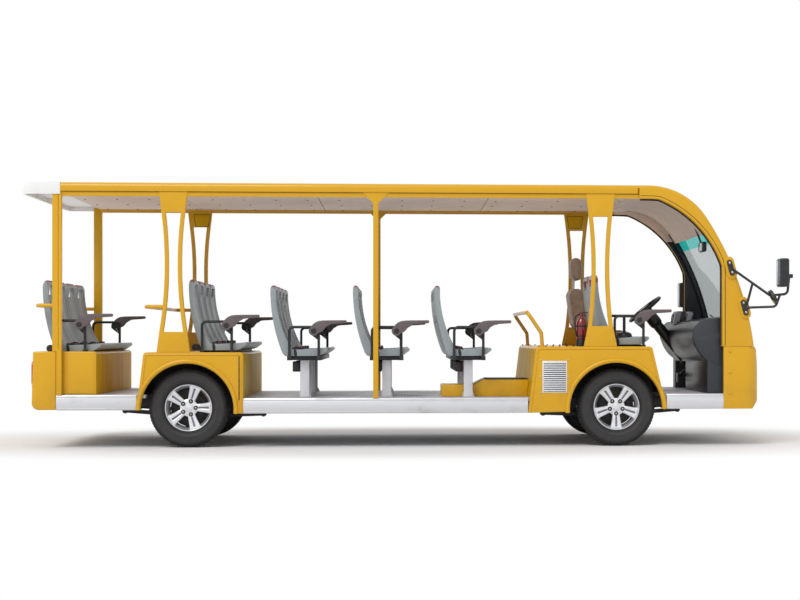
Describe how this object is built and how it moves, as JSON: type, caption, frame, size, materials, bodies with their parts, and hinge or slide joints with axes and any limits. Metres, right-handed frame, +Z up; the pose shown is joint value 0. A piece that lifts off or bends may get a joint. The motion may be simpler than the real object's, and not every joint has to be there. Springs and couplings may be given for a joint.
{
  "type": "open electric sightseeing bus",
  "caption": "Open-sided low-speed passenger bus with a canopy on posts, rows of moulded seats with swing-up side guards, a curved cab front and steered spoked wheels.",
  "frame": {"origin": "on the ground under the middle of the overall length and width", "axes": "+X forward, +Y to the driver's left, +Z up"},
  "size_m": [6.746, 2.34, 2.3278],
  "materials": {
    "body_paint": "gloss gold-yellow paint",
    "white_shell": "white moulded shell",
    "ceiling_liner": "satin beige liner",
    "screen_glass": "clear",
    "dark_trim": "grained dark grey",
    "black_plastic": "satin black",
    "driver_cover": "taupe cover",
    "red_paint": "gloss red",
    "lamp_lens": "clear lens",
    "red_lens": "red lens",
    "seat_shell": "grey moulded shell",
    "black_steel": "black paint",
    "silver_paint": "silver paint",
    "sill_metal": "anodised",
    "floor_plate": "patterned plate",
    "cast_black": "black",
    "battery_case": "black case",
    "vent_metal": "brushed",
    "guard_pad": "warm grey",
    "rim_metal": "machined and painted",
    "tyre_rubber": "worn"
  },
  "bodies": {
    "body": {"arched_pillars": "body_paint", "armrest_frames": "black_steel", "battery": "battery_case", "bench_box": "body_paint", "box_row_seats": "seat_shell", "cab_controls": "black_plastic", "ceiling_panels": "ceiling_liner", "chassis_rails": "black_steel", "cross_members": "black_steel", "dashboard": "dark_trim", "driver_seat": "driver_cover", "extinguisher": "red_paint", "floor_cover": "body_paint", "floor_deck": "floor_plate", "front_axle": "cast_black", "front_cowl": "body_paint", "front_lamps": "lamp_lens", "front_wheel_box": "body_paint", "grab_rails": "body_paint", "leaf_springs": "black_steel", "mirrors": "black_plastic", "pedestal_row_seats": "seat_shell", "pedestals": "silver_paint", "posts": "body_paint", "rear_axle": "cast_black", "rear_lamps": "red_lens", "rear_visor": "white_shell", "rear_wheel_box": "body_paint", "roof_beams": "body_paint", "roof_panel": "body_paint", "screen_frame": "body_paint", "seat_frames": "black_steel", "side_sills": "sill_metal", "tail_box": "body_paint", "vent_grilles": "vent_metal", "windscreen": "screen_glass"},
    "wheel_front_right": {"rim_front_right": "rim_metal", "tyre_front_right": "tyre_rubber"},
    "wheel_front_left": {"rim_front_left": "rim_metal", "tyre_front_left": "tyre_rubber"},
    "wheel_rear_right": {"rim_rear_right": "rim_metal", "tyre_rear_right": "tyre_rubber"},
    "wheel_rear_left": {"rim_rear_left": "rim_metal", "tyre_rear_left": "tyre_rubber"},
    "knuckle_left": {"knuckle_left": "cast_black"},
    "knuckle_right": {"knuckle_right": "cast_black"},
    "tie_rod": {"tie_rod": "cast_black"},
    "steering_wheel": {"steering_wheel": "black_plastic"},
    "guard_1_right": {"guard_1_right": "guard_pad"},
    "guard_1_left": {"guard_1_left": "guard_pad"},
    "guard_2_right": {"guard_2_right": "guard_pad"},
    "guard_2_left": {"guard_2_left": "guard_pad"},
    "guard_3_right": {"guard_3_right": "guard_pad"},
    "guard_3_left": {"guard_3_left": "guard_pad"},
    "guard_4_right": {"guard_4_right": "guard_pad"},
    "guard_4_left": {"guard_4_left": "guard_pad"},
    "guard_5_right": {"guard_5_right": "guard_pad"},
    "guard_5_left": {"guard_5_left": "guard_pad"},
    "guard_front_right": {"guard_front_right": "guard_pad"}
  },
  "joints": [
    {"name": "steer_left", "type": "hinge", "parent": "body", "child": "knuckle_left", "pos_m": [1.833, 0.69, 0.347], "axis": [0, 0, 1], "range_deg": [-30, 30]},
    {"name": "steer_right", "type": "hinge", "parent": "body", "child": "knuckle_right", "pos_m": [1.833, -0.69, 0.347], "axis": [0, 0, 1], "range_deg": [-30, 30]},
    {"name": "tie_rod_pivot", "type": "hinge", "parent": "knuckle_left", "child": "tie_rod", "pos_m": [1.683, 0.69, 0.381], "axis": [0, 0, 1], "range_deg": [-30, 30]},
    {"name": "steering_wheel_turn", "type": "hinge", "parent": "body", "child": "steering_wheel", "pos_m": [2.293, 0.45, 1.239], "axis": [0.6293, 0, -0.7771], "range_deg": [-420, 420]},
    {"name": "wheel_front_right_spin", "type": "hinge", "parent": "knuckle_right", "child": "wheel_front_right", "pos_m": [1.833, -0.807, 0.347], "axis": [0, 1, 0], "continuous": true},
    {"name": "wheel_front_left_spin", "type": "hinge", "parent": "knuckle_left", "child": "wheel_front_left", "pos_m": [1.833, 0.807, 0.347], "axis": [0, 1, 0], "continuous": true},
    {"name": "wheel_rear_right_spin", "type": "hinge", "parent": "body", "child": "wheel_rear_right", "pos_m": [-1.951, -0.807, 0.347], "axis": [0, 1, 0], "continuous": true},
    {"name": "wheel_rear_left_spin", "type": "hinge", "parent": "body", "child": "wheel_rear_left", "pos_m": [-1.951, 0.807, 0.347], "axis": [0, 1, 0], "continuous": true},
    {"name": "guard_1_right_swing", "type": "hinge", "parent": "body", "child": "guard_1_right", "pos_m": [-2.89, -0.919, 1.08], "axis": [0, -1, 0], "range_deg": [0, 100]},
    {"name": "guard_1_left_swing", "type": "hinge", "parent": "body", "child": "guard_1_left", "pos_m": [-2.89, 0.919, 1.08], "axis": [0, -1, 0], "range_deg": [0, 100]},
    {"name": "guard_2_right_swing", "type": "hinge", "parent": "body", "child": "guard_2_right", "pos_m": [-1.617, -0.919, 1.072], "axis": [0, -1, 0], "range_deg": [0, 100]},
    {"name": "guard_2_left_swing", "type": "hinge", "parent": "body", "child": "guard_2_left", "pos_m": [-1.617, 0.919, 1.072], "axis": [0, -1, 0], "range_deg": [0, 100]},
    {"name": "guard_3_right_swing", "type": "hinge", "parent": "body", "child": "guard_3_right", "pos_m": [-0.8547, -0.919, 1.024], "axis": [0, -1, 0], "range_deg": [0, 100]},
    {"name": "guard_3_left_swing", "type": "hinge", "parent": "body", "child": "guard_3_left", "pos_m": [-0.8547, 0.919, 1.024], "axis": [0, -1, 0], "range_deg": [0, 100]},
    {"name": "guard_4_right_swing", "type": "hinge", "parent": "body", "child": "guard_4_right", "pos_m": [-0.12785, -0.919, 1.024], "axis": [0, -1, 0], "range_deg": [0, 100]},
    {"name": "guard_4_left_swing", "type": "hinge", "parent": "body", "child": "guard_4_left", "pos_m": [-0.12785, 0.919, 1.024], "axis": [0, -1, 0], "range_deg": [0, 100]},
    {"name": "guard_5_right_swing", "type": "hinge", "parent": "body", "child": "guard_5_right", "pos_m": [0.599, -0.919, 1.024], "axis": [0, -1, 0], "range_deg": [0, 100]},
    {"name": "guard_5_left_swing", "type": "hinge", "parent": "body", "child": "guard_5_left", "pos_m": [0.599, 0.919, 1.024], "axis": [0, -1, 0], "range_deg": [0, 100]},
    {"name": "guard_front_right_swing", "type": "hinge", "parent": "body", "child": "guard_front_right", "pos_m": [2.031, -0.919, 1.122], "axis": [0, -1, 0], "range_deg": [0, 100]}
  ],
  "couplings": [
    {"joint": "steer_right", "follows": "steer_left", "ratio": 1},
    {"joint": "tie_rod_pivot", "follows": "steer_left", "ratio": -1},
    {"joint": "steering_wheel_turn", "follows": "steer_left", "ratio": -14}
  ]
}
